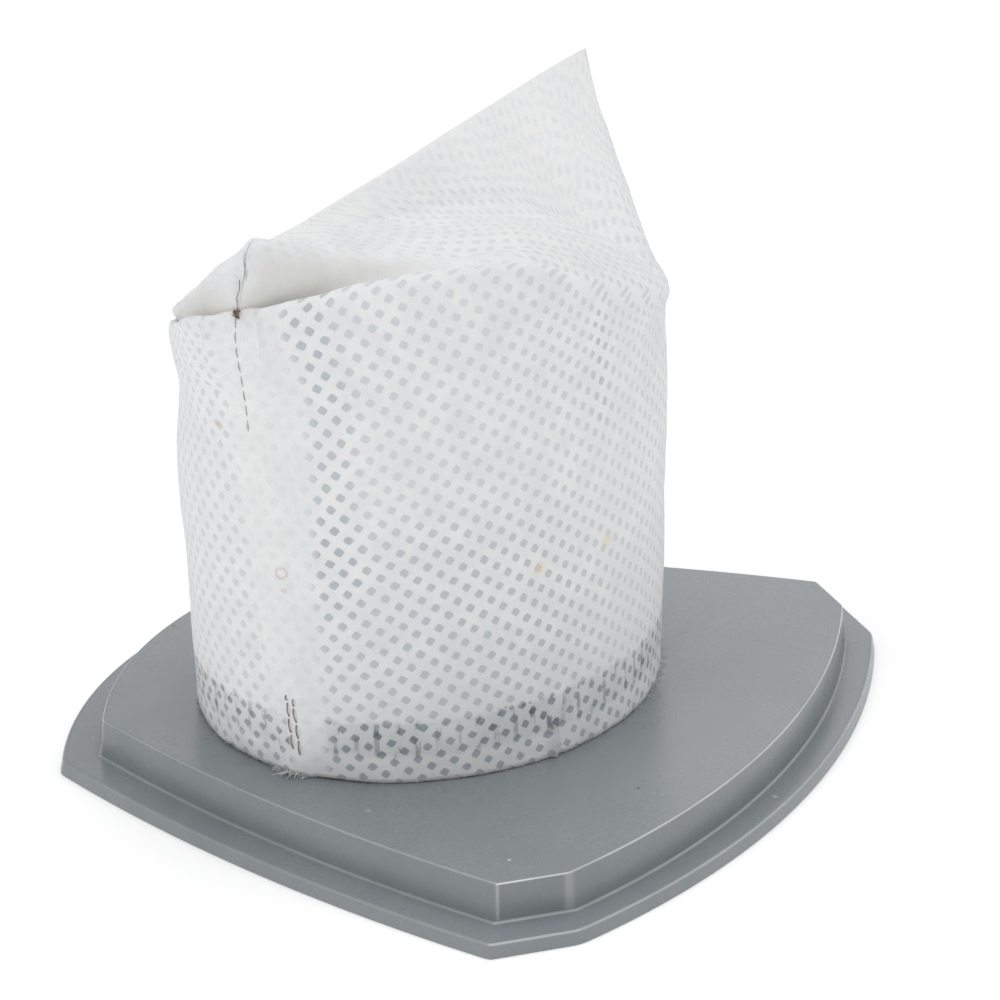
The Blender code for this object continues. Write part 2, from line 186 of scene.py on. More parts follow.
class Wire:
    """A number or a vector in a shader tree. Ordinary arithmetic on it adds the nodes."""

    def __init__(self, tree, socket):
        self.tree, self.socket = tree, socket

    def made(self, kind, inputs, output=0, **settings):
        """A new node of the same tree, with its settings and its sockets' values or wires."""
        node = self.tree.nodes.new(kind)
        for key, value in settings.items():
            setattr(node, key, value)
        for place, value in inputs.items():
            if isinstance(value, Wire):
                self.tree.links.new(value.socket, node.inputs[place])
            else:
                node.inputs[place].default_value = value
        return Wire(self.tree, node.outputs[output])

    def math(self, operation, *others):
        return self.made("ShaderNodeMath", dict(enumerate((self, *others))), operation=operation)

    def __add__(self, other): return self.math("ADD", other)
    def __mul__(self, other): return self.math("MULTIPLY", other)
    def __sub__(self, other): return self.math("SUBTRACT", other)
    def __rsub__(self, other): return (self * -1) + other
    __radd__, __rmul__ = __add__, __mul__

    def absolute(self): return self.math("ABSOLUTE")
    def fraction(self): return self.math("FRACT")
    def power(self, other): return self.math("POWER", other)
    def least(self, other): return self.math("MINIMUM", other)
    def most(self, other): return self.math("MAXIMUM", other)

    def step(self, low, high):
        """Smooth step from 0 at low to 1 at high; low may be the larger."""
        if low > high:
            return 1 - self.step(high, low)
        return self.made("ShaderNodeMapRange", {0: self, 1: low, 2: high, 3: 0.0, 4: 1.0},
                         interpolation_type="SMOOTHSTEP")

    def turned(self, angles=(0, 0, 0), scale=(1, 1, 1), shift=(0, 0, 0)):
        return self.made("ShaderNodeMapping", {0: self, 1: shift, 2: angles, 3: scale})

    def noise(self, scale, detail=2.0, roughness=0.5, distortion=0.0):
        inputs = {"Vector": self, "Scale": scale, "Detail": detail, "Roughness": roughness,
                  "Distortion": distortion}
        return self.made("ShaderNodeTexNoise", inputs)

    def cells(self, scale):
        """Distance from the nearest of points strewn at random."""
        return self.made("ShaderNodeTexVoronoi", {"Vector": self, "Scale": scale})

    def away(self, centre):
        """Distance from a point that is given in millimetres about the collar's axis."""
        ends = {0: self, 1: tuple(to_row(centre))}
        return self.made("ShaderNodeVectorMath", ends, output=1, operation="DISTANCE") * (1 / MM)

    def parts(self):
        split = self.made("ShaderNodeSeparateXYZ", {0: self})
        outputs = split.socket.node.outputs
        return [Wire(self.tree, outputs[place]) for place in range(3)]


def strongest(first, *others):
    """The greatest of several wires."""
    for other in others:
        first = first.most(other)
    return first


def blended(factor, first, second):
    """Colour that goes from first to second with factor."""
    def colour(value):
        return value if isinstance(value, Wire) else (*value, 1)
    inputs = {0: factor, 6: colour(first), 7: colour(second)}
    return factor.made("ShaderNodeMix", inputs, output=2, data_type="RGBA")


class Finish:
    """A material with one Principled shader, and the wires to feed it."""

    def __init__(self, name, **fixed):
        self.material = bpy.data.materials.new(name)
        self.material.use_nodes = True
        self.tree = self.material.node_tree
        self.shader = self.tree.nodes["Principled BSDF"]
        for socket, value in fixed.items():
            self.shader.inputs[socket.replace("_", " ")].default_value = value

    def source(self, kind, output, **settings):
        return Wire(self.tree, None).made(kind, {}, output, **settings)

    def place(self):
        return self.source("ShaderNodeTexCoord", "Object")

    def attribute(self, name):
        return self.source("ShaderNodeAttribute", "Fac", attribute_name=name)

    def uv(self):
        return self.source("ShaderNodeUVMap", "UV", uv_map="cloth")

    def feed(self, socket, wire):
        self.tree.links.new(wire.socket, self.shader.inputs[socket])

    def bump(self, height, depth, strength=1.0):
        """Bump from a height of 0 to 1, where 1 stands depth millimetres proud."""
        inputs = {"Strength": strength, "Distance": depth * MM, "Height": height}
        self.feed("Normal", height.made("ShaderNodeBump", inputs))


def plate_finish():
    finish = Finish("grey moulded plastic", Metallic=0.0, Specular_IOR_Level=0.5)
    place = finish.place()
    edge = finish.attribute("edge")
    broad = place.noise(38, 3.0, 0.6)
    fine = place.noise(900, 3.0, 0.6)
    flow = place.turned(scale=(1, 0.35, 1)).noise(120, 3.0, 0.5, 1.5)
    base = blended(broad.step(0.3, 0.7), (0.226, 0.250, 0.264), (0.250, 0.274, 0.287))
    base = blended(flow.step(0.45, 0.62) * 0.25, base, (0.268, 0.291, 0.303))
    line = (edge - 2.0).absolute().step(0.16, 0.05) * broad.step(0.42, 0.55)
    base = blended(line * 0.45, base, (0.26, 0.27, 0.27))
    rings = strongest(*((place.away(centre) - radius).absolute().step(0.2, 0.05)
                        for centre, radius in EJECTOR_RINGS))
    base = blended(rings * 0.16, base, (0.30, 0.31, 0.31))
    specks = place.cells(160).step(0.075, 0.045) * place.noise(55).step(0.60, 0.66)
    base = blended(specks * 0.7, base, (0.55, 0.55, 0.52))
    dark = place.turned(shift=(3.1, 1.7, 0)).cells(130).step(0.055, 0.03) * broad.step(0.56, 0.62)
    base = blended(dark * 0.8, base, (0.05, 0.05, 0.05))
    for centre, radius, colour in PLATE_SPOTS:
        base = blended(place.away(centre).step(radius, radius * 0.5) * 0.85, base, colour)
    # Painted highlight on the rounded edges and corners, strongest on the stretches that face the light
    edge_highlight = finish.attribute("edge_highlight") * (0.75 + broad.step(0.4, 0.6) * 0.25)
    base = blended(edge_highlight.least(1.0) * 0.92, base, (0.84, 0.86, 0.87))
    finish.feed("Base Color", base)

    def scratches(turn, cut):
        strokes = place.turned(angles=(0, 0, turn), scale=(0.04, 1, 1)).noise(1500, 1.0).step(cut, cut + 0.04)
        return strokes * place.turned(shift=(turn, 0, 0)).noise(30).step(0.55, 0.62)

    strokes = strongest(scratches(0.5, 0.71), scratches(1.9, 0.72), scratches(2.6, 0.73))
    finish.feed("Roughness", 0.20 + broad * 0.09 + fine * 0.05 + strokes * 0.15 - line * 0.04)
    finish.bump(fine * 0.25 + broad * 0.5 + line * 0.5 + rings * 0.3 - strokes * 0.2, 0.016)
    return finish.material


def cloth_finish():
    finish = Finish("white point-bonded cloth", Metallic=0.0, Specular_IOR_Level=0.35, Sheen_Weight=0.15,
                    Sheen_Roughness=0.6)
    place = finish.place()
    fold, dot_shade = finish.attribute("fold"), finish.attribute("dot_shade")
    seam = finish.attribute("seam").absolute()
    across, along_true, _ = finish.uv().parts()
    across = across + (place.noise(260, 2.0) - 0.5) * 0.5
    along = along_true + (place.turned(shift=(5, 5, 5)).noise(260, 2.0) - 0.5) * 0.5
    cosine, sine = math.cos(DOT_TURN), math.sin(DOT_TURN)

    def dots(s, t, mirror=1):
        """Distance in pitches from the nearest bonded dot's middle, even along a square with soft corners."""
        first = (s * (cosine * mirror) - t * sine) * (1 / DOT_PITCH)
        second = (s * (sine * mirror) + t * cosine) * (1 / DOT_PITCH)
        gap = [(axis.fraction() - 0.5).absolute().power(4.0) for axis in (first, second)]
        return (gap[0] + gap[1]).power(0.25)

    reach = dots(across, along) + (place.noise(1300, 2.0) * 0.06 - 0.03)
    dot = reach.step(0.275, 0.205) * fold.step(1.99, 1.94)
    rim = (reach - 0.32).absolute().step(0.07, 0.0)
    strip = seam.step(SEAM_HALF + 0.3, SEAM_HALF - 0.3) * along_true.step(66, 60)
    fin = fold.step(1.02, 1.25)
    flap_shade = fold.step(0.15, 0.35) * fold.step(1.0, 0.55) * seam.step(34, 18) * (1 - fin)
    behind = dots(across + 0.9, along + 0.5, -1).step(0.28, 0.2)
    cloud = place.noise(210, 4.0, 0.65)
    wide = place.noise(45, 2.0)
    fibres = place.turned(angles=(0, 0.5, 0.3), scale=(1, 1, 0.22)).noise(3600, 3.0, 0.6)
    crossed = place.turned(angles=(0.6, -0.9, 0.2), scale=(1, 1, 0.22)).noise(3600, 3.0, 0.6)
    hair = fibres.most(crossed)
    strength = ((0.55 + cloud * 0.5) * dot_shade).least(1.0)

    base = blended(cloud.step(0.35, 0.68), (0.815, 0.820, 0.832), (0.875, 0.878, 0.884))
    base = blended(hair.step(0.5, 0.75) * 0.35, base, (0.93, 0.935, 0.93))
    base = blended(strip * 0.2, base, (0.93, 0.93, 0.925))
    base = blended(fin * 0.6, base, (0.925, 0.925, 0.93))
    # Bonded dots, darkened by painted shade of the bag's inside seen through them
    base = blended(dot * strength, base, (0.48, 0.53, 0.565))
    base = blended(behind * fin * 0.16, base, (0.62, 0.65, 0.66))
    base = blended(wide.step(0.4, 0.65) * 0.10, base, (0.72, 0.75, 0.76))
    # Painted shade on the recessed flap of the folded ear by the near side seam
    base = blended(flap_shade * 0.52, base, (0.62, 0.615, 0.575))
    # Painted shade in the crease between the lip and the flap, beside the near side seam
    crease = fold.step(0.2, 0.33) * fold.step(0.6, 0.36) * seam.step(22, 8)
    base = blended(crease * 0.5, base, (0.46, 0.43, 0.37))

    # Glue behind the cloth, pressed against the collar's ribs
    ragged = along_true + (place.noise(420, 2.0) - 0.5) * 1.2
    patchy = place.noise(75, 2.0).step(0.36, 0.58)
    shown = dot_shade.step(0.18, 0.42) * (0.55 + patchy * 0.45)
    low = ragged.step(5.2, 4.0) * shown
    band = ragged.step(3.6, 5.2) * ragged.step(10.6, 9.6) * shown
    blotch = place.noise(260, 3.0, 0.6).step(0.48, 0.62)
    ribs = ((across * (1 / RIB_PITCH)).fraction() - 0.5).absolute().step(0.19, 0.08)
    marks = ribs * place.turned(scale=(1, 1, 0.6)).noise(560, 3.0).step(0.42, 0.56)
    base = blended(low * dot * 0.6, base, (0.34, 0.40, 0.44))
    base = blended(band * 0.36, base, (0.47, 0.51, 0.53))
    base = blended(band * dot * (0.7 + blotch * 0.3), base, (0.22, 0.26, 0.29))
    base = blended(band * marks * (0.42 + blotch * 0.4), base, (0.10, 0.12, 0.13))
    crust = (ragged - 10.0).absolute().step(0.7, 0.1) * place.cells(700).step(0.36, 0.2)
    base = blended(crust * 0.5 * shown * patchy, base, (0.05, 0.05, 0.055))

    # Spots, the stain by the seam and the cut hem
    for centre, radius, colour, weight in CLOTH_SPOTS:
        soft = place.away(centre) + (place.noise(1300, 2.0) - 0.5) * radius
        base = blended(soft.step(radius, radius * 0.35) * weight, base, colour)
    stain = (place.away(STAIN_RING) - STAIN_RADIUS).absolute().step(0.3, 0.08)
    base = blended(stain * 0.28, base, (0.40, 0.28, 0.18))
    base = blended(along_true.step(0.8, 0.2) * 0.5, base, (0.80, 0.80, 0.77))
    finish.feed("Base Color", base)
    finish.feed("Roughness", 0.86 - dot * 0.25 + hair * 0.05)
    height = 0.45 + (rim * 0.12 - dot * 0.5) * strength + hair * 0.22 + cloud * 0.3
    finish.bump(height, 0.2, 0.7)
    return finish.material


def thread_finish(name, dark, light):
    finish = Finish(name, Metallic=0.0, Specular_IOR_Level=0.3)
    place = finish.place()
    ply = place.noise(2600, 2.0)
    finish.feed("Base Color", blended(ply.step(0.35, 0.65), dark, light))
    finish.feed("Roughness", 0.7 + ply * 0.2)
    finish.bump(ply, 0.08)
    return finish.material


def glue_finish():
    finish = Finish("set glue", Metallic=0.0, Specular_IOR_Level=0.5)
    place = finish.place()
    lumps = place.noise(420, 3.0, 0.6)
    finish.feed("Base Color", blended(lumps.step(0.35, 0.7), (0.045, 0.052, 0.055), (0.11, 0.12, 0.12)))
    finish.feed("Roughness", 0.3 + lumps * 0.4)
    finish.bump(lumps, 0.2)
    return finish.material


# Mesh making


def make_piece(name, points, faces, material, uv=None, attributes=()):
    """A smooth mesh object at the origin, from points in millimetres about the collar's axis."""
    mesh = bpy.data.meshes.new(name)
    mesh.from_pydata(to_row(points).tolist(), [], [list(map(int, face)) for face in faces])
    if uv is not None:
        layer = mesh.uv_layers.new(name="cloth")
        layer.data.foreach_set("uv", np.asarray(uv, np.float32).ravel())
    for key, values in attributes:
        store = mesh.attributes.new(key, "FLOAT", "POINT")
        store.data.foreach_set("value", np.asarray(values, np.float32))
    mesh.materials.append(material)
    mesh.shade_smooth()
    piece = bpy.data.objects.new(name, mesh)
    bpy.context.scene.collection.objects.link(piece)
    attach(piece, "root")
    return piece


def grid_faces(rows, columns, closed_rows=False):
    """Quads between rows of columns that run all the way round."""
    row = np.arange(rows if closed_rows else rows - 1)[:, None]
    column = np.arange(columns)[None, :]
    after, above = (column + 1) % columns, (row + 1) % rows
    quads = [row * columns + column, row * columns + after, above * columns + after, above * columns + column]
    return np.stack(np.broadcast_arrays(*quads), -1).reshape(-1, 4)


def to_disc(angles, centre, radius):
    along = centre[0] * np.cos(angles) + centre[1] * np.sin(angles)
    return along + np.sqrt(along ** 2 - centre[0] ** 2 - centre[1] ** 2 + radius ** 2)


def side_centre():
    start, end = np.array(FACET_CORNER), np.array(TAIL_CORNER)
    chord = end - start
    length = np.hypot(*chord)
    reach = math.sqrt(SIDE_RADIUS ** 2 - (length / 2) ** 2)
    return (start + end) / 2 + np.array([-chord[1], chord[0]]) / length * reach


def plate_stretches(angles, grow):
    """Distance of each stretch of the plate's outline in each direction: nose, cut corner, side and tail."""
    turned = np.abs((angles + np.pi) % (2 * np.pi) - np.pi)
    reach = math.cos(FACET_ANGLE) * FACET_CORNER[0] + math.sin(FACET_ANGLE) * FACET_CORNER[1]
    lean = np.cos(turned - FACET_ANGLE)
    return np.stack([
        to_disc(turned, (NOSE_X - NOSE_RADIUS, 0), NOSE_RADIUS + grow[0]),
        np.where(lean > 0.05, (reach + grow[1]) / np.maximum(lean, 0.05), 1000),
        to_disc(turned, side_centre(), SIDE_RADIUS + grow[2]),
        to_disc(turned, (TAIL_RADIUS - TAIL_X, 0), TAIL_RADIUS + grow[3]),
    ])


def outline(angles, grow, rounding):
    """Distance of the plate's outline in each direction, with its corners rounded a little."""
    stretches = plate_stretches(angles, grow)
    least = stretches.min(0)
    return least - rounding * np.log(np.exp(-(stretches - least) / rounding).sum(0))


def edge_highlight_along(angles, grow, weights, corner):
    """How bright the painted highlight is along the outline's edge: a weight for each stretch, and one for
    its corners.
    """
    stretches = plate_stretches(angles, grow)
    ordered = np.sort(stretches, axis=0)
    corners = corner * np.exp(-((ordered[1] - ordered[0]) / 0.22) ** 2)
    return np.maximum(np.asarray(weights, float)[stretches.argmin(0)], corners)


def oval_reach(angles, half_x, half_y):
    return 1 / np.hypot(np.cos(angles) / half_x, np.sin(angles) / half_y)


def plate_angles():
    """Directions round the plate, closer together at its corners."""
    angles = list(np.linspace(-np.pi, np.pi, 648, endpoint=False))
    for corner in (38.5, 42.5, 55.4, 137.0):
        for side in (-1, 1):
            angles += list(np.radians(side * corner + np.linspace(-3, 3, 37)))
    return np.unique(np.round(angles, 6))


def quarter(steps):
    return [math.pi / 2 * step / steps for step in range(steps + 1)]


def make_plate(material):
    """The moulded plate and its collar as one skin, ring by ring from the rim's foot to the underside."""
    angles = plate_angles()
    rim = tuple(width + FLANGE_DRAFT for width in LEDGE)
    rings = []

    def add(reach, height, edge=-1.0, edge_highlight=0.0):
        """One ring: its reach and height, how far inside the plateau's edge it lies, and how much painted
        highlight it carries.
        """
        rings.append((reach, height, edge, np.broadcast_to(edge_highlight, angles.shape)))

    def grown(widths, more):
        return tuple(width + more for width in widths)

    # Flange
    soft, sharp = 0.2, 0.07
    for turn in quarter(3):
        reach = outline(angles, grown(rim, RIM_ROUND * (math.sin(turn) - 1)), soft)
        add(reach, RIM_ROUND * (1 - math.cos(turn)))
    add(outline(angles, grown(LEDGE, 0.04), soft), FLANGE_HEIGHT - 0.5)
    lip_highlight = edge_highlight_along(angles, LEDGE, (0.45, 0.5, 0.12, 0.3), 0.5)
    for turn in quarter(5):
        add(outline(angles, grown(LEDGE, LIP_ROUND * (math.cos(turn) - 1)), soft),
            FLANGE_HEIGHT - LIP_ROUND * (1 - math.sin(turn)), edge_highlight=lip_highlight * math.sin(2 * turn))
    add(outline(angles, grown(LEDGE, -0.9), soft), FLANGE_HEIGHT)
    add(outline(angles, grown(BASE, 1.2), sharp * 2), FLANGE_HEIGHT)

    # Step up to the plateau
    foot_highlight = edge_highlight_along(angles, BASE, (0.4, 0.4, 0.16, 0.25), 0.45)
    for turn in quarter(5):
        add(outline(angles, grown(BASE, FOOT_ROUND * (1 - math.sin(turn))), sharp),
            FLANGE_HEIGHT + FOOT_ROUND * (1 - math.cos(turn)), edge_highlight=foot_highlight * math.sin(2 * turn))
    corner_highlight = edge_highlight_along(angles, (0,) * 4, (0,) * 4, 0.42)
    for share in (0.02, 0.15, 0.5, 0.85, 0.98):
        add(outline(angles, tuple(width * (1 - share) for width in BASE), sharp),
            FLANGE_HEIGHT + FOOT_ROUND + share * (PLATE_TOP - FLANGE_HEIGHT - 0.7), edge_highlight=corner_highlight)
    top_highlight = edge_highlight_along(angles, (0,) * 4, (0.8, 1.0, 0.28, 0.6), 1.0)
    for turn in quarter(5):
        drop = TOP_ROUND * (math.cos(turn) - 1)
        add(outline(angles, (drop,) * 4, sharp), PLATE_TOP - TOP_ROUND * (1 - math.sin(turn)), -drop,
            np.maximum(top_highlight * math.sin(2 * turn), corner_highlight * math.cos(turn)))

    # Plateau, from its edge to the collar
    for inset in (0.5, 1.0, 1.6, 1.9, 2.1, 2.4, 3.2, 4.5):
        add(outline(angles, (-inset,) * 4, sharp + inset * 0.1), PLATE_TOP, inset)
    start = rings[-1][0]
    foot = oval_reach(angles, MOUTH_X - COLLAR_INSET, MOUTH_Y - COLLAR_INSET)
    for share in (0.12, 0.3, 0.5, 0.7, 0.88):
        add(start + (foot + 1.0 - start) * share, PLATE_TOP, 4.5 + 10 * share)

    # Ribbed collar and its bore, all well inside the plateau's edge
    within = 20
    around = math.pi * (MOUTH_X + MOUTH_Y - 2 * COLLAR_INSET)
    phase = (angles / (2 * np.pi) * round(around / RIB_PITCH)) % 1
    ribbed = foot + RIB_DEPTH * between(0, 0.12, 0.4, 0.52, phase)
    top = PLATE_TOP + COLLAR_HEIGHT
    add(ribbed + 0.15, PLATE_TOP, within)
    for lift in (0.25, 1.0, 4.0, 7.0, COLLAR_HEIGHT - 1.0):
        add(ribbed, PLATE_TOP + lift, within)
    add(ribbed, top - 0.15, within)
    add(ribbed - 0.15, top, within)
    bore = foot - COLLAR_WALL
    for turn in quarter(3):
        add(bore + BORE_ROUND * (1 - math.sin(turn)), top - BORE_ROUND * (1 - math.cos(turn)), within)
    for share in (0.1, 0.5, 0.9):
        add(bore, top - BORE_ROUND - share * (COLLAR_HEIGHT + PLATE_WALL - 0.6), within)

    # Underside
    low = PLATE_TOP - PLATE_WALL
    add(bore, low + 0.2, within)
    add(bore + 0.2, low, within)
    inside = outline(angles, grown(BASE, -PLATE_WALL), 0.5)
    for share in (0.1, 0.5, 0.9):
        add(bore + (inside - bore) * share, low, within)
    add(inside - 0.3, low)
    add(inside, low - 0.3)
    add(inside, 3.0)
    add(inside, 0.3)
    add(inside + 0.15, 0.0)
    add(outline(angles, grown(LEDGE, -1.0), soft), 0.0)

    cosines, sines = np.cos(angles), np.sin(angles)
    points = np.concatenate([
        np.stack([reach * cosines, reach * sines, np.full(len(angles), height - PLATE_TOP)], 1)
        for reach, height, _, _ in rings])
    edges = np.repeat([edge for _, _, edge, _ in rings], len(angles))
    edge_highlight = np.concatenate([share for _, _, _, share in rings])
    faces = grid_faces(len(rings), len(angles), closed_rows=True)
    return make_piece("plate_moulding", points, faces, material, attributes=(("edge", edges), ("edge_highlight", edge_highlight)))


# The bag


def eased(t, length, start, end, leaving, arriving):
    """Cubic from start to end, at share t of a length, with a slope at each."""
    return (start * (2 * t ** 3 - 3 * t ** 2 + 1) + end * (3 * t ** 2 - 2 * t ** 3)
            + leaving * length * (t ** 3 - 2 * t ** 2 + t) + arriving * length * (t ** 3 - t ** 2))


def curve_through(knots, points, at):
    """Smooth curve through points at knots, read at each position in at."""
    points, at = np.asarray(points, float), np.asarray(at, float)
    spans = np.diff(knots)
    secants = np.diff(points, axis=0) / spans[:, None]
    slopes = np.empty_like(points)
    slopes[0], slopes[-1] = secants[0], secants[-1]
    before, after = spans[:-1, None], spans[1:, None]
    slopes[1:-1] = (secants[:-1] * after + secants[1:] * before) / (before + after)
    place = np.clip(np.searchsorted(knots, at, side="right") - 1, 0, len(knots) - 2)
    length = spans[place][:, None]
    t = (at[:, None] - np.asarray(knots)[place][:, None]) / length
    return eased(t, length, points[place], points[place + 1], slopes[place], slopes[place + 1])


def wall_line(half_x, half_y, height, near, far, back):
    """One panel's share of an oval ring, in equal steps along it."""
    start = -math.pi / 2 + math.asin(near / half_x)
    end = math.pi / 2 - math.asin(far / half_x)
    angles = np.linspace(start, end - 2 * math.pi if back else end, 1200)
    fine = np.stack([half_x * np.cos(angles), half_y * np.sin(angles), np.full(1200, float(height))], 1)
    lengths = np.concatenate([[0], np.cumsum(np.linalg.norm(np.diff(fine, axis=0), axis=1))])
    wanted = np.linspace(0, lengths[-1], COLUMN_STEPS + 1)
    return np.stack([np.interp(wanted, lengths, fine[:, axis]) for axis in range(3)], 1)


def panel_keys(back):
    """Key lines of one panel from hem to top seam, and how sharply the cloth folds at each."""
    columns = np.linspace(0, 1, COLUMN_STEPS + 1)
    keys = [wall_line(*ring, back) for ring in WALL]
    if back:
        inner = between(0, 0.12, 0.88, 1, columns)
        keys[-1] -= inner[:, None] * (keys[-1] * (0.045, 0, 0) + (0, 0, 4.0))
    lines = (BACK_LIP, BACK_RIDGE, BACK_VALLEY) if back else (FRONT_LIP, FRONT_RIDGE, FRONT_VALLEY)
    lip, ridge, valley, top = (curve_through(SHARES, line, columns) for line in (*lines, TOP_SEAM))

    # The roof's foot is tucked under the lip on the near half
    near = 1 - ramp(0.30, 0.52, columns)
    far = between(0.62, 0.72, 0.78, 0.92, columns)
    tuck = near * ramp(0.0, 0.05, columns)
    inward = -lip * (1, 1, 0) / np.linalg.norm(lip[:, :2], axis=1)[:, None]
    depth = (0.35 if back else 1.0) * tuck
    groove = lip + inward * depth[:, None] + (ridge - lip) * (0.25 * (1 - tuck))[:, None]
    groove[:, 2] -= 0.8 * depth
    rise = lip + (ridge - lip) * 0.5 + inward * (0.5 * depth)[:, None]
    keys += [lip, groove, rise, ridge, valley, top + ((-0.2 if back else 0.2), 0, 0)]
    smooth = np.zeros_like(columns)
    creases = [smooth] * len(WALL)
    creases += [0.1 * near + 0.05, 0.6 * near, smooth, 0.35 * near + 0.1, 0.5 * (1 - far) + 0.2 * far, smooth]
    return np.array(keys), np.array(creases)


def loft(keys, creases):
    """Rows between the key lines, and each row's place counted in key lines."""
    spans = np.maximum(np.linalg.norm(np.diff(keys, axis=0), axis=2), 0.05)[..., None]
    secants = np.diff(keys, axis=0) / spans
    smooth = (secants[:-1] * spans[1:] + secants[1:] * spans[:-1]) / (spans[1:] + spans[:-1])
    fold = creases[1:-1, :, None]
    arriving = np.concatenate([secants[:1], smooth * (1 - fold) + secants[:-1] * fold, secants[-1:]])
    leaving = np.concatenate([secants[:1], smooth * (1 - fold) + secants[1:] * fold, secants[-1:]])
    rows, places = [], []
    for place, steps in enumerate(ROW_STEPS):
        ends = keys[place], keys[place + 1], leaving[place], arriving[place + 1]
        for t in (step / steps for step in range(steps)):
            rows.append(eased(t, spans[place], *ends))
            places.append(place + t)
    return np.array(rows + [keys[-1]]), np.array(places + [len(ROW_STEPS)])


def all_round(front, back):
    """The front and back panels' grids as one that runs round the bag."""
    return np.concatenate([front, back[:, -2:0:-1]], 1)


def lengths_along(points, axis):
    """Distance along one axis of a grid of points, from its start."""
    steps = np.linalg.norm(np.diff(points, axis=axis), axis=2)
    return np.concatenate([np.zeros_like(steps.take([0], axis)), np.cumsum(steps, axis)], axis)


def grid_normals(points):
    """Outward unit normals of a grid whose columns run all the way round."""
    around = np.roll(points, -1, axis=1) - np.roll(points, 1, axis=1)
    up = np.gradient(points, axis=0)
    normals = np.cross(around, up)
    size = np.linalg.norm(normals, axis=2, keepdims=True)
    return normals / np.maximum(size, 1e-9)


def bag_grid():
    """The bag's outside as rows of columns, with the cloth's own coordinates and what paints it."""
    (front, places), (back, _) = (loft(*panel_keys(behind)) for behind in (False, True))
    for side in (0, -1):
        middle = (front[:, side] + back[:, side]) / 2
        front[:, side] = back[:, side] = middle
    across = lengths_along(front, 1)
    along_front, along_back = lengths_along(front, 0), lengths_along(back, 0)
    polar = np.degrees(np.arctan2(front[..., 1], front[..., 0]))
    wall_rows = int(np.searchsorted(places, len(WALL) - 1))
    reference = np.array([np.interp(REFERENCE_ANGLE, polar[row], across[row]) / across[row, -1]
                          for row in range(wall_rows)])
    reference = np.concatenate([reference, np.full(len(places) - wall_rows, reference[-1])])
    near = -(reference * across[:, -1])[:, None]
    s_front = across + near
    s_back = near - lengths_along(back, 1)
    grid = all_round(front, back)
    return {
        "points": grid, "places": places, "s": (s_front, s_back), "t": (along_front, along_back),
        "polar": np.degrees(np.arctan2(grid[..., 1], grid[..., 0])),
        "height": all_round(along_front, along_back),
        "seam": all_round(s_front - near, near - s_back),
    }


def cloth_relief(bag):
    """How far the cloth stands out from its smooth form, in millimetres."""
    points, height, seam = bag["points"], bag["height"], bag["seam"]
    x, y, z = np.moveaxis(points, -1, 0)

    def dents(scale, seed, squash=1):
        return grain(points.reshape(-1, 3) * (1, 1, squash), scale, seed).reshape(height.shape)

    relief = 0.45 * dents(16, 1) * ramp(6, 26, height)
    relief += 0.16 * dents(5.5, 2, 0.45) * ramp(3, 16, height)
    relief += 0.10 * dents(2.6, 3)
    relief += 0.25 * (1 - ramp(0, 7, height)) * dents(4.2, 4, 0.2)

    # The side seam's doubled strip
    relief += 0.42 * (1 - ramp(SEAM_HALF - 0.35, SEAM_HALF + 0.25, seam)) * (1 - ramp(60, 68, height))

    # The pleat by the hem, with a hollow beside it
    reach = np.radians(bag["polar"] - PLEAT_ANGLE - 0.10 * height) * np.hypot(x, y)
    fade = 1 - ramp(PLEAT_HEIGHT * 0.45, PLEAT_HEIGHT * 1.1, height)
    pleat = 1.9 * between(-1.9, -0.5, -0.45, 0.1, reach) - 0.6 * between(-0.3, 0.2, 0.6, 3.0, reach)
    relief += fade * (0.3 + 0.7 * ramp(0, 3, height)) * pleat

    # The crease behind the near side seam
    crease = np.abs((z - 59.2) + (x + 12) * 0.05 - 1.5) / 0.8
    relief -= 0.5 * np.exp(-crease ** 2) * between(-24, -19, -7, -3, x) * (y < -20)

    relief *= 1 - 0.85 * ramp(VALLEY + 0.2, VALLEY + 0.95, bag["places"])[:, None]
    pinch = ramp(2, 9, seam) + (1 - ramp(66, 72, height))
    return relief * np.clip(pinch, 0, 1)


def dot_shade_strength(bag, fold):
    """How dark the bonded dots are painted: the dots are real, and their darkness is painted shade of the
    bag's dark inside seen through them, faint where cloth lies double, strong where light falls past.
    """
    s = all_round(*bag["s"])
    seam, height = bag["seam"], bag["height"]
    front = np.arange(s.shape[1])[None, :] <= COLUMN_STEPS
    dot_shade = 0.52 + 0.12 * grain(bag["points"].reshape(-1, 3), 14, 8).reshape(height.shape)
    edge = 4.5 + 3.0 * ramp(10, 60, height)
    lining = np.where(front, 1 - ramp(edge, edge + 2.2, seam),
                      (1 - ramp(2.5, 4.5, seam)) * ramp(6, 12, height))
    dot_shade *= 1 - 0.68 * lining
    beside = between(edge + 1, edge + 3, edge + 5.5, edge + 10, seam)
    dot_shade += 0.55 * front * between(22, 34, 76, 80, height) * beside
    dot_shade += 0.40 * front * (1 - ramp(34, 48, height)) * between(edge + 0.5, edge + 2.5, 40, 60, seam)
    dot_shade += 0.45 * front * between(44, 54, 66, 72, height) * np.exp(-((s - 26.5) / 2.6) ** 2)
    roof = between(0.2, 0.5, 1.0, 1.4, fold)
    leftward = 1 - ramp(26, 52, seam)
    dot_shade *= 1 - roof * (0.30 + 0.45 * leftward * (1 - 0.45 * ramp(0.6, 0.9, fold)))
    dot_shade *= 1 - 0.45 * (1 - front) * ramp(0.05, 0.3, fold)
    return np.maximum(dot_shade * (1 - 0.72 * ramp(1.0, 1.5, fold)), 0.03)


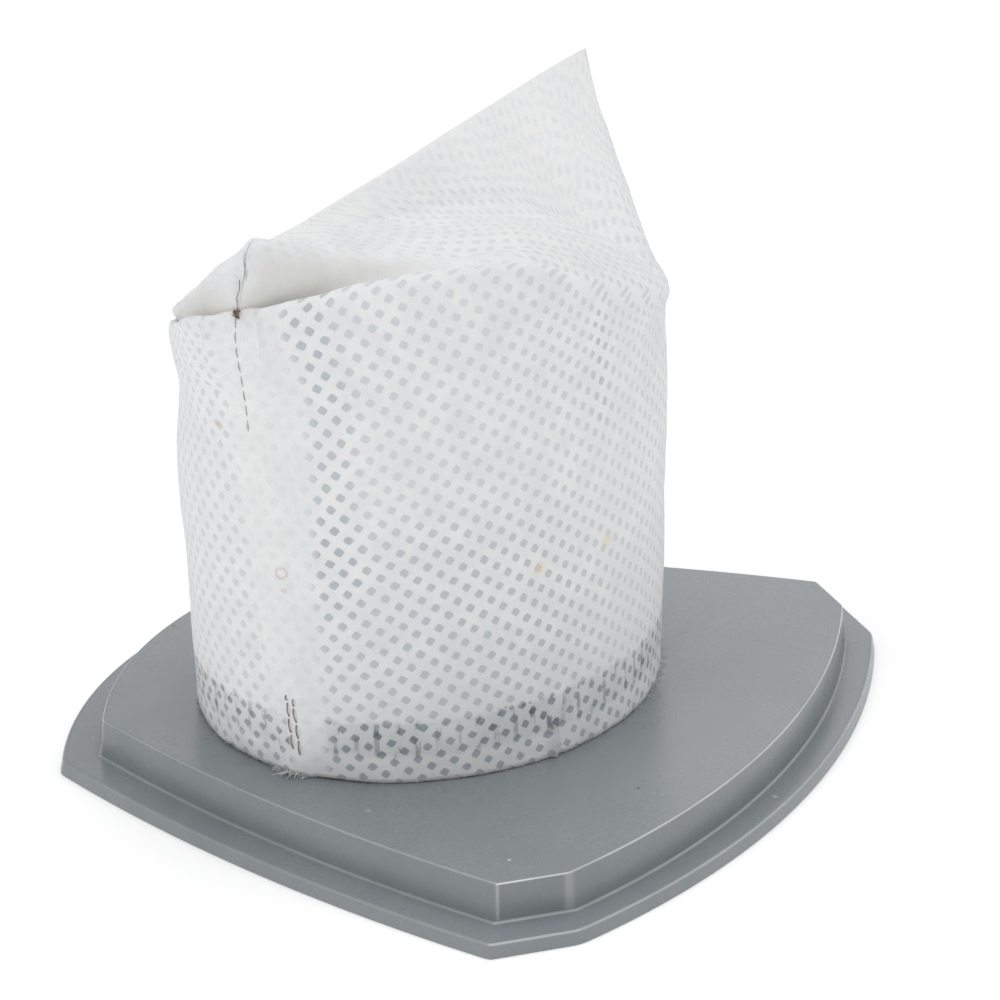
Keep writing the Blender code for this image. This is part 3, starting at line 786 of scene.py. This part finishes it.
def make_bag(material):
    """The bag as two skins one cloth apart, closed at the hem and along the top seam."""
    bag = bag_grid()
    smooth_points = bag["points"]
    beside, height = smooth_points[..., 1], smooth_points[..., 2]
    for centre, half, depth in FIN_BENDS:
        bend = depth * np.exp(-((beside - centre) / half) ** 2)
        smooth_points[..., 0] -= bend * between(70, 77, 77, 84, height)
    outside = smooth_points + grid_normals(smooth_points) * cloth_relief(bag)[..., None]
    rows, columns = outside.shape[:2]
    ragged = 0.12 * grain(outside[0] * (1, 1, 0), 1.6, 5)
    outside[0, :, 2] += np.clip(ragged, -0.15, 0.25)
    closed = np.clip(ramp(0.2, 4.0, bag["seam"]) + (1 - ramp(64, 70, bag["height"])), 0.1, 1)
    inside = outside - grid_normals(outside) * (CLOTH * closed)[..., None]
    inside[0, :, 2] = outside[0, :, 2]
    points = np.concatenate([outside.reshape(-1, 3), inside.reshape(-1, 3)])

    # Both skins, the hem between them, and each skin's closure along the top seam
    count, half = rows * columns, columns // 2
    quads = grid_faces(rows, columns)
    column = np.arange(columns)
    after = (column + 1) % columns
    hem = np.stack([after, column, column + count, after + count], 1)
    step = np.arange(half)
    strip = np.stack([step, step + 1, (columns - step - 1) % columns, (columns - step) % columns], 1)
    strip += (rows - 1) * columns
    faces = [list(face) for block in (quads, quads[:, ::-1] + count, hem) for face in block]
    for block in (strip, (strip + count)[:, ::-1]):
        faces += [[corner for place, corner in enumerate(face) if corner not in face[:place]]
                  for face in map(list, block)]

    # The cloth's coordinates, corner by corner, because they jump at the far side seam
    def coordinates(corner, back):
        row, place = divmod(int(corner) % count, columns)
        behind = place > half or (back and place in (0, half))
        if behind:
            place = (columns - place) % columns
        return bag["s"][behind][row, place], bag["t"][behind][row, place]

    uv = []
    for face in faces:
        back = max(int(corner) % count % columns for corner in face) > half
        uv += [coordinates(corner, back) for corner in face]

    # Fold: 0 on the wall, 1 on the roof, and up to 2 at the fin's top
    places = bag["places"]
    fold = np.clip((places - LIP) / (RIDGE - LIP), 0, 1) + np.clip(places - VALLEY, 0, 1)
    fold = np.repeat(fold, columns).reshape(rows, columns)
    attributes = [(name, np.tile(values.ravel(), 2)) for name, values in (
        ("seam", bag["seam"]), ("fold", fold), ("dot_shade", dot_shade_strength(bag, fold)))]
    piece = make_piece("bag_cloth", points, faces, material, uv=uv, attributes=attributes)
    return piece, outside


# Threads and loose fibres


def tube(path, radius, sides=6):
    """Points and faces of a round thread along a path."""
    path = np.asarray(path, float)
    ahead = np.gradient(path, axis=0)
    ahead /= np.linalg.norm(ahead, axis=1, keepdims=True)
    side = np.cross(ahead, (0.31, 0.22, 0.92))
    side /= np.linalg.norm(side, axis=1, keepdims=True)
    other = np.cross(ahead, side)
    radius = np.broadcast_to(np.asarray(radius, float), len(path))[:, None, None]
    turns = np.arange(sides) * 2 * np.pi / sides
    ring = side[:, None] * np.cos(turns)[None, :, None] + other[:, None] * np.sin(turns)[None, :, None]
    points = (path[:, None] + ring * radius).reshape(-1, 3)
    faces = [list(face) for face in grid_faces(len(path), sides)]
    faces += [list(range(sides))[::-1], [len(points) - sides + place for place in range(sides)]]
    return points, faces


def thread_piece(name, paths, material):
    """Several threads as one piece; each path comes with its radius."""
    points, faces = [], []
    for path, radius in paths:
        more, shapes = tube(path, radius)
        faces += [[corner + sum(map(len, points)) for corner in face] for face in shapes]
        points.append(more)
    return make_piece(name, np.concatenate(points), faces, material)


def on_cloth(outside, seam_offset, height, lift):
    """A point near the near side seam, on the cloth: seam_offset > 0 is on the front panel."""
    column = int(round(seam_offset / 1.07)) % outside.shape[1]
    line = outside[:, column]
    up = [np.interp(height, line[:90, 2], line[:90, axis]) for axis in range(3)]
    out = np.array([up[0] / 34 ** 2, up[1] / 44 ** 2, 0])
    return np.array(up) + out / np.linalg.norm(out) * lift


def make_stitches(outside, thread):
    """Two rows of stitches beside the seam, over the hem."""
    rng = random.Random(7)
    paths = []
    for offset, low, high in STITCH_ROWS:
        height = low
        while height < high:
            length = min(STITCH_LENGTH, high - height)
            heights = np.linspace(height, height + length, 7)
            lifts = 0.05 + 0.26 * np.sin(np.linspace(0, math.pi, 7))
            sway = rng.uniform(-0.25, 0.25)
            paths.append(([on_cloth(outside, offset, z, lift) + (sway * (z - height) / 3, 0, 0)
                           for z, lift in zip(heights, lifts)], STITCH_RADIUS))
            height += length + STITCH_GAP
    return thread_piece("hem_stitches", paths, thread)


def make_knot(outside, thread, faded):
    """The seam's thread, drawn tight round the folded ear."""
    def drawn(points, steps):
        return curve_through(np.linspace(0, 1, len(points)), points, np.linspace(0, 1, steps))

    seam = [on_cloth(outside, 0, height, 0.01 + 0.09 * math.sin(height * 2.6))
            for height in np.linspace(74, 55, 60)]
    rng = random.Random(31)
    x, y, z = KNOT
    loops = [(x + rng.uniform(-0.55, 0.5), y + rng.uniform(-0.3, 0.25), z + rng.uniform(-0.55, 0.6))
             for _ in range(KNOT_TURNS)]
    ear = [(drawn(TAIL, 26), FINE_RADIUS), (drawn(loops, 150), KNOT_RADIUS)]
    return [thread_piece("ear_thread", ear, thread),
            thread_piece("seam_thread", [(seam, FINE_RADIUS)], faded)]


def scattered(name, anchor_points, anchor_turns, anchor_sizes, hair, material):
    """One hair on every anchor, made with Geometry Nodes and kept as a plain mesh."""
    mesh = bpy.data.meshes.new(name + "_anchors")
    mesh.from_pydata(to_row(anchor_points).tolist(), [], [])
    turn = mesh.attributes.new("turn", "FLOAT_VECTOR", "POINT")
    turn.data.foreach_set("vector", np.asarray(anchor_turns, np.float32).ravel())
    size = mesh.attributes.new("size", "FLOAT", "POINT")
    size.data.foreach_set("value", np.asarray(anchor_sizes, np.float32))
    holder = bpy.data.objects.new(name + "_anchors", mesh)
    bpy.context.scene.collection.objects.link(holder)
    group = bpy.data.node_groups.new(name + "_spread", "GeometryNodeTree")
    group.interface.new_socket("Geometry", in_out="INPUT", socket_type="NodeSocketGeometry")
    group.interface.new_socket("Geometry", in_out="OUTPUT", socket_type="NodeSocketGeometry")
    add, link = group.nodes.new, group.links.new
    enter, leave = add("NodeGroupInput"), add("NodeGroupOutput")
    to_points, spread = add("GeometryNodeMeshToPoints"), add("GeometryNodeInstanceOnPoints")
    source, realise = add("GeometryNodeObjectInfo"), add("GeometryNodeRealizeInstances")
    finish = add("GeometryNodeSetMaterial")
    source.inputs[0].default_value = hair
    finish.inputs["Material"].default_value = material
    named = []
    for key, kind in (("turn", "FLOAT_VECTOR"), ("size", "FLOAT")):
        node = add("GeometryNodeInputNamedAttribute")
        node.data_type = kind
        node.inputs["Name"].default_value = key
        named.append(node)
    turned = add("FunctionNodeEulerToRotation")
    link(enter.outputs[0], to_points.inputs[0])
    link(to_points.outputs[0], spread.inputs["Points"])
    link(source.outputs["Geometry"], spread.inputs["Instance"])
    link(named[0].outputs[0], turned.inputs[0])
    link(turned.outputs[0], spread.inputs["Rotation"])
    link(named[1].outputs[0], spread.inputs["Scale"])
    link(spread.outputs[0], realise.inputs[0])
    link(realise.outputs[0], finish.inputs[0])
    link(finish.outputs[0], leave.inputs[0])
    holder.modifiers.new("spread", "NODES").node_group = group
    bpy.context.view_layer.update()
    made = bpy.data.meshes.new_from_object(holder.evaluated_get(bpy.context.evaluated_depsgraph_get()))
    bpy.data.objects.remove(holder, do_unlink=True)
    bpy.data.objects.remove(hair, do_unlink=True)
    for key in ("turn", "size"):
        if key in made.attributes:
            made.attributes.remove(made.attributes[key])
    made.shade_smooth()
    if not made.materials:
        made.materials.append(material)
    piece = bpy.data.objects.new(name, made)
    bpy.context.scene.collection.objects.link(piece)
    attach(piece, "root")
    return piece


def hair_source(name, bend):
    """A hair 1 mm long, from the origin along Z, to be copied."""
    heights = np.linspace(0, 1, 7)
    path = np.stack([bend * heights ** 2, 0.12 * np.sin(heights * 5), heights], 1)
    points, faces = tube(path, np.linspace(0.028, 0.012, 7), 4)
    mesh = bpy.data.meshes.new(name)
    mesh.from_pydata((points * MM).tolist(), [], faces)
    piece = bpy.data.objects.new(name, mesh)
    bpy.context.scene.collection.objects.link(piece)
    return piece


def make_hem_fibres(outside, material):
    """Loose fibres at the cut hem, thicker by the seam's end and at the frayed right side."""
    rng = random.Random(11)
    ring = outside[0]
    polar = np.degrees(np.arctan2(ring[:, 1], ring[:, 0]))
    tuft = np.exp(-((polar - TUFT_ANGLE) / TUFT_WIDTH) ** 2)
    weights = 1 + 5 * tuft + 2.2 * np.exp(-((polar - 18) / 12) ** 2)
    anchors, turns, sizes = [], [], []
    for column in rng.choices(range(len(ring)), weights=list(weights), k=HEM_HAIRS):
        base = ring[column] + (ring[(column + 1) % len(ring)] - ring[column]) * rng.random()
        out = math.atan2(base[1], base[0])
        lean = rng.uniform(1.15, 1.5)
        anchors.append(base + (0, 0, rng.uniform(0.05, 0.5)))
        turns.append((0, lean, out + rng.uniform(-1.3, 1.3)))
        sizes.append(rng.uniform(0.35, 1.0) + 2.2 * tuft[column] * rng.random())
    return scattered("hem_fibres", anchors, turns, sizes, hair_source("hem_hair", 0.25), material)


def make_fuzz(outside, material):
    """Fine fibres that stand off the cloth."""
    rng = random.Random(23)
    rows, columns = outside.shape[:2]
    normals = grid_normals(outside)
    anchors, turns, sizes = [], [], []
    for _ in range(FUZZ_HAIRS):
        row, column = rng.randrange(6, rows - 2), rng.randrange(columns)
        normal = Vector(normals[row, column])
        if normal.length < 0.5:
            continue
        lean = Matrix.Rotation(rng.uniform(0.7, 1.35), 3, normal.orthogonal())
        facing = Matrix.Rotation(rng.uniform(0, 6.28), 3, normal) @ lean @ normal
        anchors.append(outside[row, column])
        turns.append(tuple(facing.to_track_quat("Z", "X").to_euler()))
        sizes.append(rng.uniform(0.3, 0.9))
    return scattered("cloth_fuzz", anchors, turns, sizes, hair_source("fuzz_hair", 0.4), material)


# Camera, floor and light


def look(point, target):
    """Turn that points an object's -Z from point to target."""
    return (Vector(target) - Vector(point)).to_track_quat("-Z", "Y")


def make_camera():
    """The photograph's camera, fitted to the plate's outlines."""
    heading, pitch, roll = map(math.radians, CAMERA_TURNS)
    right = Vector((math.sin(heading), math.cos(heading), 0))
    ahead = Vector((-math.cos(heading), math.sin(heading), 0))
    view = ahead * math.cos(pitch) - Vector((0, 0, math.sin(pitch)))
    up = ahead * math.sin(pitch) + Vector((0, 0, math.cos(pitch)))
    x_axis = right * math.cos(roll) - up * math.sin(roll)
    y_axis = right * math.sin(roll) + up * math.cos(roll)
    data = bpy.data.cameras.new("photo_camera")
    data.sensor_width, data.lens = CAMERA_SENSOR, CAMERA_LENS
    data.clip_start, data.clip_end = 0.05, 20
    camera = bpy.data.objects.new("photo_camera", data)
    turn = Matrix((x_axis, y_axis, -view)).transposed().to_4x4()
    camera.matrix_world = Matrix.Translation(Vector(CAMERA_PLACE)) @ turn
    bpy.context.scene.collection.objects.link(camera)
    bpy.context.scene.camera = camera


def make_floor():
    finish = Finish("white paper", Metallic=0.0, Roughness=0.9, Specular_IOR_Level=0.0,
                    Emission_Color=(1, 1, 1, 1), Emission_Strength=0.2)
    place = finish.place()
    finish.feed("Base Color", blended(place.noise(9, 2.0), (0.93, 0.93, 0.93), (0.95, 0.95, 0.95)))
    mesh = bpy.data.meshes.new("floor")
    corners = [(x * FLOOR_HALF, y * FLOOR_HALF, 0) for x, y in ((-1, -1), (1, -1), (1, 1), (-1, 1))]
    mesh.from_pydata(corners, [], [(0, 1, 2, 3)])
    mesh.materials.append(finish.material)
    floor = bpy.data.objects.new("floor", mesh)
    bpy.context.scene.collection.objects.link(floor)


def make_lights():
    world = bpy.data.worlds.new("studio")
    world.use_nodes = True
    background = world.node_tree.nodes["Background"]
    background.inputs["Color"].default_value = (1, 1, 1, 1)
    background.inputs["Strength"].default_value = WORLD_LIGHT
    bpy.context.scene.world = world
    for name, place, size, power, colour in LIGHTS:
        data = bpy.data.lights.new(name, "AREA")
        data.shape, data.size, data.energy, data.color = "DISK", size, power, colour
        light = bpy.data.objects.new(name, data)
        light.location = place
        light.rotation_euler = look(place, (0, 0, 0.04)).to_euler()
        bpy.context.scene.collection.objects.link(light)
    settings = bpy.context.scene.view_settings
    settings.view_transform = "Standard"
    settings.look = "None"
    settings.exposure, settings.gamma = 0, 1


def main():
    make_camera()
    make_floor()
    make_lights()
    plate = make_plate(plate_finish())
    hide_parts("filter_plate")
    cloth = cloth_finish()
    bag, outside = make_bag(cloth)
    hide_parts("filter_bag")
    brown = thread_finish("brown thread", (0.13, 0.095, 0.075), (0.34, 0.28, 0.24))
    grey = thread_finish("grey thread", (0.26, 0.23, 0.21), (0.50, 0.47, 0.45))
    pale = thread_finish("pale fibres", (0.72, 0.72, 0.70), (0.88, 0.88, 0.86))
    trim = [make_stitches(outside, brown), *make_knot(outside, brown, grey), make_hem_fibres(outside, pale),
            make_fuzz(outside, pale)]
    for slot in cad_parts["glue_band"].material_slots:
        slot.material = glue_finish()


main()
